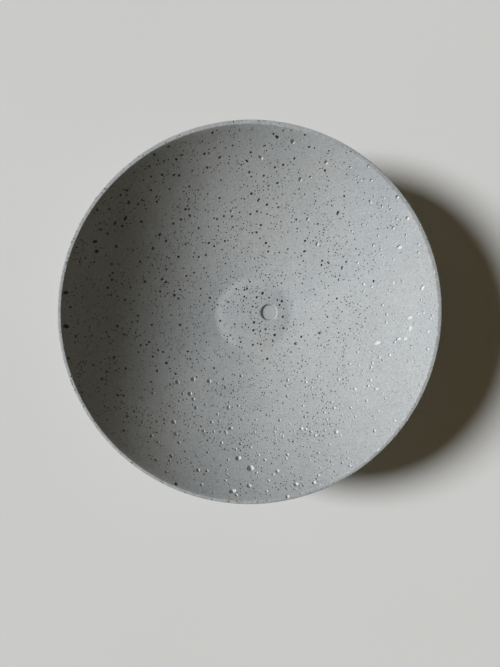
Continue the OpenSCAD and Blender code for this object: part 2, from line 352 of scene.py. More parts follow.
RUBBER_MATTNESS = (300.0, 3.0, 0.5), (0.3, 0.7), (0.55, 0.74)
FLOOR_CLOUDS = (3.0, 2.0, 0.5), (0.3, 0.7), (0.985, 1.015)

# Pinholes in the cast face: cells to the metre, the part of a cell over which a hole ends, the
# random values from which a cell has one, and how dark it is, which paints shade in the hole
PINHOLE_CELLS, PINHOLE_EDGE, PINHOLE_DRAW, PINHOLE_SHADE = 340.0, (0.08, 0.135), (0.05, 0.10), 0.30
# Paler ring round the disc: how far across the band its middle lies, over which distance from
# there it fades, over which levels it starts and ends, from the disc's, and how much paler it is
RING_AT, RING_FADE, RING_PALER = 0.55, (0.6 * MM, 3.2 * MM), 0.05
RING_STARTS, RING_ENDS = (-1 * MM, -0.8 * MM), (1 * MM, 2 * MM)
# Depths below the rim over which the worn lip starts
LIP_STARTS = (1.2 * MM, 0.5 * MM)
# Factors on red and blue that make the paste warmer in one place and cooler in another
MORE, LESS = 1.012, 0.985

# Dust on the rubber, and how much of it the bung and the pads have
RUBBER_DUST, BUNG_DUST, PAD_DUST = (0.43, 0.44, 0.44, 1.0), 0.5, 0.12


def length(name, about, size_mm):
    """A size that the user can change, given in mm and kept in metres."""
    return FloatProperty(name=name, description=about, default=size_mm * MM, min=0.0,
                         precision=5, subtype="DISTANCE", unit="LENGTH")


def slope(name, about, degrees):
    return FloatProperty(name=name, description=about, default=math.radians(degrees),
                         subtype="ANGLE", unit="ROTATION")


def colour(name, about, value):
    return FloatVectorProperty(name=name, description=about, default=value, size=3,
                               min=0.0, max=1.0, subtype="COLOR")


class BowlSizes(bpy.types.PropertyGroup):
    """Sizes of the cast bowl."""
    rim_diameter: length("Rim diameter", "Outer diameter at the lip", 300)
    lip_width: length("Lip width", "Width of the level lip", 3)
    lip_edge: length("Lip edge", "Height of the upright edge outside the lip", 2.5)
    lip_round: length("Lip rounding", "Radius on the lip's corners", 0.8)
    depth: length("Inner depth", "Depth from the lip down to the floor disc", 68)
    disc_diameter: length("Disc diameter", "Diameter of the raised disc in the floor", 56)
    band_width: length("Band width", "Width of the sloping band round the disc", 5)
    disc_rise: length("Disc rise", "Height of the disc above the foot of the wall", 0.5)
    wall_start: slope("Wall start", "Slope of the wall where it leaves the floor", 13)
    knee_diameter: length("Knee diameter", "Diameter where the upper wall starts", 186)
    knee_height: length("Knee height", "Height of that place above the disc", 22)
    knee_thickness: length("Knee thickness", "Thickness of the wall there", 9)
    disc_level: length("Disc level", "Height of the disc above the ground", 12)
    foot_level: length("Foot level", "Height of the foot above the ground", 2)
    foot_diameter: length("Foot diameter", "Outer diameter of the foot", 110)
    foot_edge: length("Foot edge", "Height of the foot's upright edge", 2)
    foot_round: length("Foot rounding", "Radius on the foot's lower edge", 1)
    foot_ring: length("Foot ring", "Width of the flat ring under the foot", 18)
    foot_hollow: length("Foot hollow", "Depth of the hollow inside that ring", 1.5)
    unevenness: length("Unevenness", "How far the cast faces wander", 0.16)
    out_of_round: length("Out of round", "How much the rim is narrower one way", 0.5)
    core_shift: length("Core shift", "How far the inside stands off the middle", 0.56)
    core_direction: slope("Core direction", "Direction of that shift, from +X", 243)
    disc_shift: length("Disc shift", "How far the floor disc lies towards +X", 2.5)
    steps_round: IntProperty(name="Steps round", description="Steps round the bowl",
                             default=128, min=48, max=256)


class DrainSizes(bpy.types.PropertyGroup):
    """Sizes of the drain hole and of its bung."""
    offset: length("Offset", "Distance from the middle of the bowl", 17)
    direction: slope("Direction", "Direction from the middle of the bowl, from +X", 8)
    diameter: length("Diameter", "Diameter just below the sloping mouth", 12.8)
    low_diameter: length("Lower diameter", "Diameter at the lower end", 11.2)
    mouth_width: length("Mouth width", "Width of the sloping mouth on each side", 1.2)
    mouth_depth: length("Mouth depth", "Depth of the sloping mouth", 1.8)
    bung_gap: length("Bung gap", "Gap between the bung and the hole", 0.1)
    bung_dish: length("Bung dish", "Depth of the dish in the bung's top face", 0.12)


class Finishes(bpy.types.PropertyGroup):
    """Colours of the materials."""
    concrete: colour("Concrete", "Cast face of the concrete", (0.372, 0.382, 0.383))
    # Paler paste in the pits, which paints highlight where the key light falls
    pit: colour("Pit", "Paler paste inside an air pit", (0.56, 0.57, 0.57))
    # Darker dusty paste in the other pits, which paints shade in them as well as dust
    dust: colour("Dust", "Dusty grey paste inside the other pits", (0.28, 0.286, 0.282))
    bung: colour("Bung", "Rubber of the drain bung", (0.372, 0.382, 0.383))
    pad: colour("Pad", "Rubber of the floor pads", (0.022, 0.022, 0.023))
    floor: colour("Floor", "Studio floor", (0.70, 0.69, 0.67))


class StageSizes(bpy.types.PropertyGroup):
    """Camera, lamp and floor."""
    camera_x: FloatProperty(name="Camera X", description="Camera's place along X",
                            default=0.016, subtype="DISTANCE", unit="LENGTH")
    camera_y: FloatProperty(name="Camera Y", description="Camera's place along Y",
                            default=-0.017, subtype="DISTANCE", unit="LENGTH")
    camera_z: length("Camera height", "Camera's height above the ground", 482)
    tilt_x: slope("Tilt to -X", "Turn of the view towards -X", 1.98)
    tilt_y: slope("Tilt to +Y", "Turn of the view towards +Y", 0.022)
    lens: FloatProperty(name="Lens", description="Focal length in mm on a 36 mm side",
                        default=27.96, min=5.0)
    pit_swell: FloatProperty(name="Pit swell", default=1.2, min=0.1,
                             description="Factor on the radii of the pits read from the picture")
    key_height: slope("Key height", "Height of the key light above the horizon", 37.4)
    key_side: slope("Key side", "Turn of the key light from -X towards +Y", 7)
    key_spread: slope("Key spread", "Apparent width of the key light", 16)
    key_strength: FloatProperty(name="Key strength", description="Strength of the key light",
                                default=4.22, min=0.0)
    fill_strength: FloatProperty(name="Fill strength", description="Strength of the dim fill",
                                 default=0.066, min=0.0)


class PlanterSettings(bpy.types.PropertyGroup):
    """All that can be changed."""
    bowl: PointerProperty(type=BowlSizes)
    drain: PointerProperty(type=DrainSizes)
    finish: PointerProperty(type=Finishes)
    stage: PointerProperty(type=StageSizes)


# Outlines and meshes

def slope_between(a, b):
    return math.atan2(b[1] - a[1], b[0] - a[0])


class Outline:
    """An open chain of edges in the XZ plane, which is spun round Z into a piece."""

    def __init__(self, radius, level):
        self.mesh = bmesh.new()
        self.tip = self.mesh.verts.new((radius, 0.0, level))
        self.corners = []

    def to(self, place, cuts=0, rounding=0.0):
        """A straight run of edges to a place. Its end can be rounded."""
        start, end = self.tip.co.copy(), Vector((place[0], 0.0, place[1]))
        for step in range(1, cuts + 2):
            vert = self.mesh.verts.new(start.lerp(end, step / (cuts + 1)))
            self.mesh.edges.new((self.tip, vert))
            self.tip = vert
        self.round_tip(rounding)

    def arc(self, place, start_slope, steps, rounding=0.0):
        """An arc to a place, which leaves the tip at the given slope."""
        here = (self.tip.co.x, self.tip.co.z)
        off_start = slope_between(here, place) - start_slope
        turn = 2.0 * ((off_start + math.pi) % math.tau - math.pi)
        radius = math.dist(here, place) / (2.0 * math.sin(turn / 2.0))
        middle = (here[0] - radius * math.sin(start_slope), 0.0,
                  here[1] + radius * math.cos(start_slope))
        made = bmesh.ops.spin(self.mesh, geom=[self.tip], cent=middle, axis=(0.0, -1.0, 0.0),
                              dvec=(0.0, 0.0, 0.0), angle=turn, steps=steps)
        self.tip = made["geom_last"][0]
        self.tip.co = (place[0], 0.0, place[1])
        self.round_tip(rounding)

    def round_tip(self, rounding):
        if rounding:
            self.corners.append((self.tip, rounding))

    def spun(self, steps):
        """The closed mesh that the outline gives when it is spun round Z."""
        for corner, reach in self.corners:
            bmesh.ops.bevel(self.mesh, geom=[corner], offset=reach, offset_type="OFFSET",
                            segments=CORNER_STEPS, profile=0.5, affect="VERTICES", material=-1)
        bmesh.ops.spin(self.mesh, geom=self.mesh.verts[:] + self.mesh.edges[:],
                       cent=(0.0, 0.0, 0.0), axis=(0.0, 0.0, 1.0), dvec=(0.0, 0.0, 0.0),
                       angle=math.tau, steps=steps, use_merge=True)
        bmesh.ops.remove_doubles(self.mesh, verts=self.mesh.verts[:], dist=MERGE_WITHIN)
        bmesh.ops.recalc_face_normals(self.mesh, faces=self.mesh.faces[:])
        return self.mesh

    def spun_at(self, place):
        """The same with few steps, moved from the origin to a place."""
        mesh = self.spun(STEPS_ROUND)
        bmesh.ops.translate(mesh, verts=mesh.verts[:], vec=place)
        return mesh


def object_from(mesh, name, *materials):
    data = bpy.data.meshes.new(name)
    mesh.to_mesh(data)
    mesh.free()
    for material in materials:
        data.materials.append(material)
    made = bpy.data.objects.new(name, data)
    bpy.context.scene.collection.objects.link(made)
    return made


def shade(piece):
    """Smooth shading, with the edges that turn by more than an angle kept sharp."""
    mesh = bmesh.new()
    mesh.from_mesh(piece.data)
    for face in mesh.faces:
        face.smooth = True
    for edge in mesh.edges:
        edge.smooth = edge.is_manifold and edge.calc_face_angle(0.0) < SHARP_FROM
    mesh.to_mesh(piece.data)
    mesh.free()


def settle_normals(piece, surface, smooth):
    """Gives the faces left between the pits the normals of the smooth surface they came from."""
    smooth.verts.ensure_lookup_table()
    smooth.faces.ensure_lookup_table()
    mesh = piece.data
    found = {}
    for vert in mesh.vertices:
        near, _, index, away = surface.find_nearest(vert.co)
        if index is None or away > ON_SURFACE:
            continue
        corners = smooth.faces[index].verts
        shares = poly_3d_calc([corner.co for corner in corners], near)
        blended = Vector((0.0, 0.0, 0.0))
        for corner, share in zip(corners, shares):
            blended += corner.normal * share
        found[vert.index] = blended.normalized()
    normals = [corner.vector.copy() for corner in mesh.corner_normals]
    for face in mesh.polygons:
        for loop in face.loop_indices:
            normal = found.get(mesh.loops[loop].vertex_index)
            if normal is not None and normal.dot(face.normal) > SAME_FACE:
                normals[loop] = normal
    mesh.normals_split_custom_set(normals)


def cut_away(piece, mesh, name):
    """Takes a closed mesh out of the piece, and checks that the piece is still closed."""
    cutter = object_from(mesh, name, *piece.data.materials)
    step = piece.modifiers.new("cut", "BOOLEAN")
    step.operation = "DIFFERENCE"
    step.solver = "MANIFOLD"
    step.object = cutter
    seen = piece.evaluated_get(bpy.context.evaluated_depsgraph_get())
    old, new = piece.data, bpy.data.meshes.new_from_object(seen)
    piece.modifiers.clear()
    piece.data = new
    new.name = piece.name
    bpy.data.meshes.remove(old)
    spare = cutter.data
    bpy.data.objects.remove(cutter)
    bpy.data.meshes.remove(spare)
    check = bmesh.new()
    check.from_mesh(new)
    open_edges = sum(1 for edge in check.edges if not edge.is_manifold)
    faces = len(check.faces)
    check.free()
    if open_edges or not faces:
        raise RuntimeError("%s: %d open edges, %d faces" % (piece.name, open_edges, faces))


# Shape of the bowl

def bowl_outline(size):
    """Half section of the concrete, from the middle of the floor over the lip and back below."""
    disc_z, foot_z = size.disc_level, size.foot_level
    rim_r, rim_z = size.rim_diameter / 2, disc_z + size.depth
    wall_foot = (size.disc_diameter / 2 + size.band_width, disc_z - size.disc_rise)
    knee = (size.knee_diameter / 2, disc_z + size.knee_height)
    lip_inner, lip_edge_foot = (rim_r - size.lip_width, rim_z), (rim_r, rim_z - size.lip_edge)
    foot_top = (size.foot_diameter / 2, foot_z + size.foot_edge)
    ring_inner = (size.foot_diameter / 2 - size.foot_ring, foot_z)
    knee_slope = 2 * slope_between(wall_foot, knee) - size.wall_start
    outer_knee = (knee[0] + size.knee_thickness * math.sin(knee_slope),
                  knee[1] - size.knee_thickness * math.cos(knee_slope))
    outer_slope = (slope_between(foot_top, outer_knee)
                   + slope_between(outer_knee, lip_edge_foot)) / 2
    lip_slope = 2 * slope_between(knee, lip_inner) - knee_slope
    lip_reach = size.lip_round / math.tan((math.pi - lip_slope) / 2)
    high_end_slope = 2 * slope_between(outer_knee, lip_edge_foot) - outer_slope

    line = Outline(0.0, disc_z)
    line.to((size.disc_diameter / 2, disc_z), cuts=5, rounding=1.8 * MM)
    line.to(wall_foot, rounding=2.4 * MM)
    line.arc(knee, size.wall_start, LOW_STEPS)
    line.arc(lip_inner, knee_slope, HIGH_STEPS, rounding=lip_reach)
    line.to((rim_r, rim_z), rounding=size.lip_round)
    line.to(lip_edge_foot, rounding=0.5 * MM)
    line.arc(outer_knee, high_end_slope + math.pi, OUTER_HIGH_STEPS)
    line.arc(foot_top, outer_slope + math.pi, OUTER_LOW_STEPS, rounding=0.8 * MM)
    line.to((size.foot_diameter / 2, foot_z), rounding=size.foot_round)
    line.to(ring_inner, cuts=2, rounding=0.6 * MM)
    line.to((ring_inner[0] - size.foot_hollow, foot_z + size.foot_hollow), rounding=0.6 * MM)
    line.to((0.0, foot_z + size.foot_hollow), cuts=5)
    return line


def ramp(value, low, high):
    """0 up to the low value, 1 from the high one on, and smooth between them."""
    t = min(max((value - low) / (high - low), 0.0), 1.0)
    return t * t * (3.0 - 2.0 * t)


def wander(mesh, size):
    """Lets the hand-cast shape wander a little, always inside the true rim and above the foot."""
    rim_r, rim_z = size.rim_diameter / 2, size.disc_level + size.depth
    lip_from = rim_z - size.lip_edge - LIP_MARGIN
    inside_r = rim_r - INSIDE_MARGIN * size.lip_width
    for vert in mesh.verts:
        place, facing = vert.co.copy(), vert.normal.copy()
        radius, angle = math.hypot(place.x, place.y), math.atan2(place.y, place.x)
        slow = (noise.noise(place * WAVES)
                + RIPPLE_SHARE * noise.noise(place * RIPPLES + RIPPLE_SHIFT))
        # The rim is a little narrower across one way
        high = ramp(place.z, size.disc_level, rim_z)
        narrow = 0.5 * (1.0 - math.cos(2.0 * angle - math.pi / 2)) * size.out_of_round / rim_r
        vert.co.x *= 1.0 - narrow * high
        vert.co.y *= 1.0 - narrow * high
        # The core that formed the inside stood a little to one side, and its disc to the other
        inside = facing.z > INSIDE_FACING and radius < inside_r
        if inside:
            vert.co.x += math.cos(size.core_direction) * size.core_shift * high
            vert.co.y += math.sin(size.core_direction) * size.core_shift * high
            vert.co.x += size.disc_shift * (1.0 - ramp(radius, *DISC_FADE))
        if place.z > lip_from and not (inside and place.z < rim_z - RIM_SKIN):
            inward = max(size.unevenness * (LIP_STEADY + slow), 0.0)
            vert.co -= Vector((place.x, place.y, 0.0)).normalized() * inward
            vert.co.z -= LIP_DOWN * inward
        elif place.z > size.foot_level + FOOT_SKIN:
            near_foot = min((place.z - size.foot_level) / FOOT_FADE, 1.0)
            near_lip = min(max(lip_from - place.z, 0.0) / LIP_FADE, 1.0)
            vert.co += facing * size.unevenness * slow * near_foot * near_lip


def drain_place(size):
    return Vector((math.cos(size.direction), math.sin(size.direction), 0.0)) * size.offset


def drain_cutter(size, bowl):
    """What the drain hole takes out: a taper below and a sloping mouth above."""
    disc_z = bowl.disc_level
    hollow_z = bowl.foot_level + bowl.foot_hollow
    low_end = hollow_z - 1 * MM
    top_end = disc_z + 0.3 * MM
    low_r, seat_r = size.low_diameter / 2, size.diameter / 2
    mouth_r = seat_r + size.mouth_width
    line = Outline(0.0, low_end)
    line.to((low_r, low_end))
    line.to((low_r, hollow_z))
    line.to((seat_r, disc_z - size.mouth_depth), rounding=0.1 * MM)
    line.to((mouth_r, disc_z), rounding=0.25 * MM)
    line.to((mouth_r + 0.6 * MM, top_end))
    line.to((0.0, top_end))
    return line.spun_at(drain_place(size))


# Camera's view, through which pixel places are found on the bowl

def view_axes(stage):
    """The camera's forward, right and up directions."""
    side, back = math.sin(stage.tilt_x), math.sin(stage.tilt_y)
    forward = Vector((-side, back, -math.sqrt(1.0 - side * side - back * back)))
    right = forward.cross(Vector((0.0, 1.0, 0.0))).normalized()
    return forward, right, right.cross(forward)


def camera_place(stage):
    return Vector((stage.camera_x, stage.camera_y, stage.camera_z))


def ray_through(stage, across, down):
    """Direction from the camera through a pixel of the picture."""
    forward, right, up = view_axes(stage)
    focal = stage.lens / FILM * max(PICTURE)
    return (forward * focal + right * (across - PICTURE[0] / 2)
            - up * (down - PICTURE[1] / 2)).normalized()


# Air pits

class Gather:
    """Collects many small bodies in one mesh, a batch at a time, which keeps each step short."""

    def __init__(self):
        self.whole, self.batch, self.waiting = bmesh.new(), bmesh.new(), 0

    def ball(self, matrix, detail, rough, grain, slot):
        """A ball with an uneven face."""
        made = bmesh.ops.create_icosphere(self.batch, subdivisions=detail, radius=1.0,
                                          matrix=matrix)
        self.roughen(made["verts"], rough, grain, slot)

    def cone(self, matrix, rough, grain, slot):
        """A small uneven cone with its point down, for the smallest pits."""
        shift = Matrix.Translation((0.0, 0.0, CONE_SHIFT))
        made = bmesh.ops.create_cone(self.batch, cap_ends=True, segments=CONE_SIDES, radius1=0.0,
                                     radius2=CONE_RADIUS, depth=CONE_HEIGHT, matrix=matrix @ shift)
        self.roughen(made["verts"], rough, grain, slot)

    def roughen(self, verts, rough, grain, slot):
        for vert in verts:
            vert.co += noise.noise_vector(vert.co * grain) * rough
            for face in vert.link_faces:
                face.material_index = slot
        self.waiting += 1
        if self.waiting == BATCH:
            self.flush()

    def flush(self):
        spare = bpy.data.meshes.new("batch")
        self.batch.to_mesh(spare)
        self.whole.from_mesh(spare)
        bpy.data.meshes.remove(spare)
        self.batch.clear()
        self.waiting = 0

    def finished(self):
        self.flush()
        self.batch.free()
        return self.whole


def cell_of(place):
    return tuple(int(math.floor(value / CELL)) for value in place)


class PitField:
    """Cutters for the air pits, which keep clear of each other."""

    def __init__(self, surface):
        self.surface = surface
        self.cutters = Gather()
        self.cells = {}

    def free(self, place, reach):
        """Whether a pit of this reach stays clear of the ones there are."""
        cell = cell_of(place)
        for step in itertools.product((-1, 0, 1), repeat=3):
            key = tuple(a + b for a, b in zip(cell, step))
            for other, span in self.cells.get(key, ()):
                if (other - place).length < span + reach + PIT_GAP:
                    return False
        return True

    def add(self, place, facing, radius, stretch, along, sunk, rough, gets_highlight):
        """Sinks a cutter below the face, an uneven stretched ball or, for a small pit, a cone.

        It returns False and adds nothing where a pit that is already there is too near.
        """
        reach = radius * max(stretch, 1.0)
        if not self.free(place, reach):
            return False
        side = (along - facing * along.dot(facing)).normalized()
        turn = Matrix((side, facing.cross(side), facing)).transposed().to_4x4()
        middle = place - facing * radius * sunk
        form = Matrix.Diagonal((radius * stretch, radius, radius, 1.0))
        # Pale paste paints highlight in a pit where the key light falls, and the darker dusty paste
        # paints shade in the others
        matrix, slot = Matrix.Translation(middle) @ turn @ form, PAINTED_HIGHLIGHT if gets_highlight else DUST_AND_SHADE
        if radius < BALL_FROM * MM:
            self.cutters.cone(matrix, radius * rough * CONE_ROUGHER, PIT_GRAIN / radius, slot)
        else:
            detail = 1 + (radius > FINE_FROM * MM) + (radius > FINEST_FROM * MM)
            if detail == 1:
                matrix = matrix @ ON_A_FACE
            self.cutters.ball(matrix, detail, radius * rough, PIT_GRAIN / radius, slot)
        self.cells.setdefault(cell_of(place), []).append((place, reach))
        return True


def seen_pit(field, stage, sunk, highlight_from, across, down, radius, stretch=1.0, turn=0):
    """Adds the pit that the picture shows at a pixel, where it stays clear of the others.

    It is round if nothing more is given.
    """
    place, facing, _, _ = field.surface.ray_cast(camera_place(stage),
                                                 ray_through(stage, across, down))
    if place is None:
        raise RuntimeError("no concrete at pixel %.1f, %.1f" % (across, down))
    angle = math.radians(turn)
    along = Vector((math.cos(angle), math.sin(angle), 0.0))
    field.add(place, facing, radius * stage.pit_swell * MM, stretch, along, sunk,
              SEEN_ROUGHNESS, radius > highlight_from)


def random_pits(field, dice, drain):
    """Fills the zones with random pits, in loose clusters, the larger ones first."""
    for side, r_from, r_to, small, large, middle, spread in PIT_ZONES:
        area = math.pi * (r_to * r_to - r_from * r_from) / MM2_PER_CM2
        scatter(field, dice, drain, side, (r_from, r_to), int(area * large),
                (middle, spread, BALL_FROM, LARGE_MOST))
        scatter(field, dice, drain, side, (r_from, r_to), int(area * small), SMALL_PITS)


def share_at(radius, angle):
    """How common the random pits are at a place."""
    turn = angle / math.tau * len(LOW_SHARES)
    first = int(turn) % len(LOW_SHARES)
    second, part = (first + 1) % len(LOW_SHARES), turn - int(turn)
    low, high = (row[first] + (row[second] - row[first]) * part
                 for row in (LOW_SHARES, HIGH_SHARES))
    return low + (high - low) * ramp(radius, SHARES_FROM, SHARES_TO)


def crowd_at(spot):
    """How common the random pits are where a cluster is or isn't."""
    crowd = CLUSTER_EVEN
    for strength, scale in CLUSTER_WAVES:
        crowd += strength * noise.noise(spot * scale)
    return max(crowd, CLUSTER_LEAST)


def highlight_at(spot, radius):
    """How much less deep a pit is cut where it shows pale paste as painted highlight, and 0 where
    it doesn't.
    """
    for least, share_x, share_y, beyond, raised in HIGHLIGHT_PLACES:
        if radius > least and share_x * spot.x + share_y * spot.y > beyond:
            return raised
    return 0.0


def scatter(field, dice, drain, side, ring, wanted, sizes):
    """Adds a number of pits in one ring. Sizes are the middle radius, spread, least and most."""
    mouth = drain_place(drain)
    mouth_reach = drain.diameter / 2 + drain.mouth_width + MOUTH_GAP
    level, way = SEARCHES[side]
    middle, spread, least, most = sizes
    tries = 0
    while wanted > 0 and tries < MOST_TRIES:
        tries += 1
        r = math.sqrt(dice.uniform(ring[0] ** 2, ring[1] ** 2)) * MM
        t = dice.uniform(0.0, math.tau)
        radius = min(max(dice.lognormvariate(math.log(middle), spread), least), most) * MM
        stretch = dice.choice(STRETCHES)
        turn, sunk = dice.uniform(0.0, math.pi), dice.uniform(*SUNK)
        spot = Vector((r * math.cos(t), r * math.sin(t), 0.0))
        if dice.random() > crowd_at(spot) * share_at(r, t):
            continue
        if (spot - mouth).length < mouth_reach + radius:
            continue
        place, facing, _, _ = field.surface.ray_cast(spot + Vector((0.0, 0.0, level)),
                                                     Vector((0.0, 0.0, way)))
        if place is None:
            continue
        along = Vector((math.cos(turn), math.sin(turn), ALONG_RISE))
        # Pits where the key light falls show pale paste as painted highlight, the others dusty
        # paste as painted shade
        raised = highlight_at(spot, radius)
        if field.add(place, facing, radius, stretch, along, sunk - raised, RANDOM_ROUGHNESS,
                     raised > 0):
            wanted -= 1


def lip_chips(dice, size):
    """Cutters for the small chips along both edges of the lip."""
    balls = Gather()
    rim_r, rim_z = size.rim_diameter / 2, size.disc_level + size.depth
    edges = ((rim_r, 1.0, OUTER_CHIPS), (rim_r - size.lip_width, -1.0, INNER_CHIPS))
    for edge_r, way, count in edges:
        step = math.tau / count
        for index in range(count):
            angle = (index + dice.uniform(*CHIP_PLACE)) * step
            radius = min(dice.lognormvariate(math.log(CHIP_RADIUS), CHIP_SPREAD), CHIP_MOST) * MM
            out = radius * dice.uniform(*CHIP_OUT)
            level = rim_z + out * CHIP_SLANT
            r = edge_r + way * out * CHIP_SLANT - size.unevenness
            place = Vector((r * math.cos(angle), r * math.sin(angle), level))
            form = Matrix.Diagonal((radius * CHIP_WIDTH, radius * dice.uniform(*CHIP_LENGTH),
                                    radius, 1.0))
            # Chips where the key light falls show pale paste, which paints highlight in them
            gets_highlight = place.x + HIGHLIGHT_CHIPS_Y * place.y > HIGHLIGHT_CHIPS_BEYOND
            balls.ball(Matrix.Translation(place) @ Matrix.Rotation(angle, 4, "Z") @ form, 1,
                       radius * CHIP_ROUGHNESS, CHIP_GRAIN / radius, PAINTED_HIGHLIGHT if gets_highlight else CAST)
    return balls.finished()


# Materials

class Recipe:
    """Builds a material's nodes, one line for each."""

    def __init__(self, name):
        self.material = bpy.data.materials.new(name)
        self.material.use_nodes = True
        self.tree = self.material.node_tree
        self.shader = self.tree.nodes["Principled BSDF"]
        self.places = self.node("ShaderNodeTexCoord").outputs["Object"]

    def node(self, kind, settings=None, **inputs):
        made = self.tree.nodes.new(kind)
        for key, value in (settings or {}).items():
            setattr(made, key, value)
        for key, value in inputs.items():
            self.put(made.inputs[key.replace("_", " ")], value)
        return made

    def put(self, socket, value):
        if isinstance(value, bpy.types.NodeSocket):
            self.tree.links.new(value, socket)
        else:
            socket.default_value = value

    def noise(self, scale, detail, roughness):
        made = self.node("ShaderNodeTexNoise", Scale=scale, Detail=detail, Roughness=roughness,
                         Vector=self.places)
        return made.outputs["Fac"]

    def maths(self, operation, a, b=0.0, c=0.0):
        made = self.node("ShaderNodeMath", {"operation": operation})
        for socket, value in zip(made.inputs, (a, b, c)):
            self.put(socket, value)
        return made.outputs[0]

    def times(self, a, b):
        return self.maths("MULTIPLY", a, b)

    def between(self, value, reads, gives=(0.0, 1.0), smooth=True):
        """What lies between two values, made to lie between two others."""
        kind = {"interpolation_type": "SMOOTHSTEP" if smooth else "LINEAR"}
        made = self.node("ShaderNodeMapRange", kind, Value=value, From_Min=reads[0],
                         From_Max=reads[1], To_Min=gives[0], To_Max=gives[1])
        return made.outputs["Result"]

    def layer(self, pattern, reads, gives, smooth=False):
        return self.between(self.noise(*pattern), reads, gives, smooth)

    def scaled(self, tint, factor):
        """A colour made lighter or darker by a factor."""
        made = self.node("ShaderNodeVectorMath", {"operation": "SCALE"}, Scale=factor)
        self.put(made.inputs[0], tint if isinstance(tint, bpy.types.NodeSocket) else tint[:3])
        return made.outputs[0]

    def blend(self, factor, a, b):
        made = self.node("ShaderNodeMix", {"data_type": "RGBA"})
        self.put(made.inputs[0], factor)
        self.put(made.inputs[6], a)
        self.put(made.inputs[7], b)
        return made.outputs[2]

    def bump(self, height, strength, distance, below=None):
        made = self.node("ShaderNodeBump", Strength=strength, Distance=distance, Height=height)
        if below is not None:
            self.put(made.inputs["Normal"], below)
        return made.outputs["Normal"]

    def finish(self, colour, roughness, specular, normal=None):
        """Gives the shader what the nodes came to, and returns the material."""
        self.put(self.shader.inputs["Base Color"], colour)
        self.put(self.shader.inputs["Roughness"], roughness)
        self.shader.inputs["Specular IOR Level"].default_value = specular
        if normal is not None:
            self.put(self.shader.inputs["Normal"], normal)
        return self.material


def tinted(red, green, blue):
    return (red, green, blue, 1.0)


def pinholes(mix):
    """1 in a pinhole and 0 beside it."""
    cells = mix.node("ShaderNodeTexVoronoi", Scale=PINHOLE_CELLS, Vector=mix.places)
    hole = mix.between(cells.outputs["Distance"], PINHOLE_EDGE, (1.0, 0.0))
    draw = mix.node("ShaderNodeSeparateColor", Color=cells.outputs["Color"])
    return mix.times(hole, mix.between(draw.outputs["Red"], PINHOLE_DRAW))


def disc_ring(mix, radius, level, bowl):
    """1 on the patchy paler ring round the floor disc, on the inside only."""
    middle = bowl.disc_diameter / 2 + bowl.band_width * RING_AT
    off = mix.maths("ABSOLUTE", mix.maths("SUBTRACT", radius, middle))
    ring = mix.between(off, RING_FADE, (1.0, 0.0))
    on_floor = mix.between(level, [bowl.disc_level + step for step in RING_STARTS])
    below_wall = mix.between(level, [bowl.disc_level + step for step in RING_ENDS], (1.0, 0.0))
    ring = mix.times(mix.times(ring, on_floor), below_wall)
    return mix.times(ring, mix.layer(*RING_PATCHES, smooth=True))


def concrete_material(name, tint, bowl, in_pit=False):
    """Cast concrete: cloudy paste with fine sand. The cast face has pinholes with painted shade in
    them, a paler ring round the disc and a worn lip as well."""
    mix = Recipe(name)
    value = mix.times(mix.times(mix.layer(*CLOUDS), mix.layer(*STAINS)),
                      mix.times(mix.layer(*SAND), mix.layer(*COARSE_SAND)))
    grain = mix.bump(mix.noise(*CONCRETE_GRAIN), strength=0.9, distance=0.18 * MM)
    normal = mix.bump(mix.noise(*CONCRETE_SWELL), strength=0.35, distance=0.25 * MM, below=grain)
    if not in_pit:
        hole = pinholes(mix)
        # Pinholes are darkened, which paints shade in them
        value = mix.times(value, mix.between(hole, (0.0, 1.0), (1.0, PINHOLE_SHADE), smooth=False))
        normal = mix.bump(mix.times(hole, -1.0), strength=0.9, distance=0.30 * MM, below=normal)
        split = mix.node("ShaderNodeSeparateXYZ", Vector=mix.places)
        flat = mix.node("ShaderNodeCombineXYZ", X=split.outputs["X"], Y=split.outputs["Y"])
        far = mix.node("ShaderNodeVectorMath", {"operation": "LENGTH"}, Vector=flat.outputs[0])
        radius, level = far.outputs["Value"], split.outputs["Z"]
        ring = disc_ring(mix, radius, level, bowl)
        value = mix.maths("MULTIPLY_ADD", ring, RING_PALER, value)
        rim_z = bowl.disc_level + bowl.depth
        lip = mix.between(level, [rim_z - step for step in LIP_STARTS])
        value = mix.maths("MULTIPLY_ADD", lip, mix.layer(*LIP_WEAR, smooth=True), value)
    cool = tinted(tint[0] * LESS, tint[1], tint[2] * MORE)
    warm = tinted(tint[0] * MORE, tint[1], tint[2] * LESS)
    base = mix.blend(mix.layer(*WARMTH, smooth=True), cool, warm)
    return mix.finish(mix.scaled(base, value), mix.layer(*CONCRETE_MATTNESS), specular=0.28,
                      normal=normal)


def rubber_material(name, tint, dust):
    """Matt moulded rubber with a fine spark finish and a little dust."""
    mix = Recipe(name)
    base = mix.scaled(tinted(*tint), mix.layer(*RUBBER_CLOUDS))
    speckle = mix.layer(*RUBBER_SPECKLE, (0.0, dust), smooth=True)
    spark = mix.bump(mix.noise(*RUBBER_SPARK), strength=0.25, distance=0.05 * MM)
    return mix.finish(mix.blend(speckle, base, RUBBER_DUST), mix.layer(*RUBBER_MATTNESS),
                      specular=0.35, normal=spark)


def floor_material(tint):
    mix = Recipe("studio_floor")
    return mix.finish(mix.scaled(tinted(*tint), mix.layer(*FLOOR_CLOUDS)), roughness=0.85,
                      specular=0.2)


# Stage

def add_object(scene, name, data):
    made = bpy.data.objects.new(name, data)
    scene.collection.objects.link(made)
    return made


def light_key(scene, stage):
    lamp = bpy.data.lights.new("key", "SUN")
    lamp.energy, lamp.angle, lamp.color = stage.key_strength, stage.key_spread, KEY_COLOUR
    key = add_object(scene, "key", lamp)
    key.rotation_euler = (0.0, math.pi / 2 - stage.key_height, math.pi - stage.key_side)


